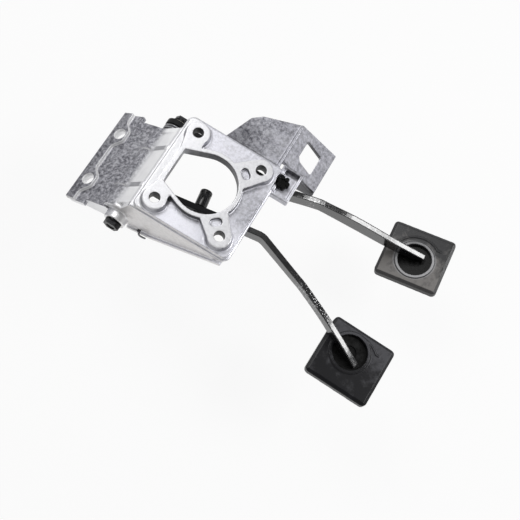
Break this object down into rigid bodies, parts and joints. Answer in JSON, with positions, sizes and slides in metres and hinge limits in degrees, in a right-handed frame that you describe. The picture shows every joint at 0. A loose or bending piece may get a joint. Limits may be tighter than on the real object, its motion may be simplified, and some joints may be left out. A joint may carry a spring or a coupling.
{
  "type": "pedal box",
  "caption": "Die-cast pedal box: a servo flange with a D-shaped opening, a tilted dash plate and a side wing, carrying sprung brake and clutch pedals with rubber pads on one cross shaft.",
  "frame": {"origin": "centre of the four brake-servo stud holes, on the machined boss faces of the flange", "axes": "+Z leaves the flange towards the servo, +X runs from the pivot shaft towards the pedal pads, +Y runs along the shaft from the brake to the clutch"},
  "size_m": [0.3424, 0.1956, 0.1094],
  "materials": {
    "casting": "rough die-cast skin, bright on the flange",
    "black_fastener": "black oxide",
    "plated_steel": "bright zinc plate",
    "spring_steel": "oiled spring wire",
    "arm_paint": "gloss black over pressed steel",
    "bush_plastic": "moulded",
    "rubber": "moulded, matt"
  },
  "bodies": {
    "bracket": {"bracket_casting": "casting", "pivot_bolt": "black_fastener", "pivot_nut": "plated_steel", "pivot_washer": "plated_steel", "distance_tube": "plated_steel", "clutch_sleeve": "plated_steel", "near_thrust_washer": "plated_steel", "middle_thrust_washer": "plated_steel", "far_thrust_washer": "plated_steel", "clutch_stop_buffer": "rubber", "brake_return_spring": "spring_steel", "clutch_return_spring": "spring_steel"},
    "brake_pedal": {"brake_arm": "arm_paint", "brake_hub": "arm_paint", "brake_bush_near": "bush_plastic", "brake_bush_far": "bush_plastic", "brake_foot_plate": "arm_paint", "brake_pad": "rubber", "pushrod_pin": "black_fastener"},
    "clutch_pedal": {"clutch_arm": "arm_paint", "clutch_hub": "arm_paint", "clutch_bush_near": "bush_plastic", "clutch_bush_far": "bush_plastic", "clutch_foot_plate": "arm_paint", "clutch_pad": "rubber"}
  },
  "joints": [
    {"name": "brake_pivot", "type": "hinge", "parent": "bracket", "child": "brake_pedal", "pos_m": [-0.0575, 0, -0.0455], "axis": [0, -1, 0], "range_deg": [0, 14], "stiffness_Nm_per_rad": 6, "springref_deg": -20.05, "deforming": ["brake_return_spring"]},
    {"name": "clutch_pivot", "type": "hinge", "parent": "bracket", "child": "clutch_pedal", "pos_m": [-0.0575, 0.046, -0.0455], "axis": [0, -1, 0], "range_deg": [0, 10], "stiffness_Nm_per_rad": 6, "springref_deg": -20.05, "deforming": ["clutch_return_spring"]}
  ]
}
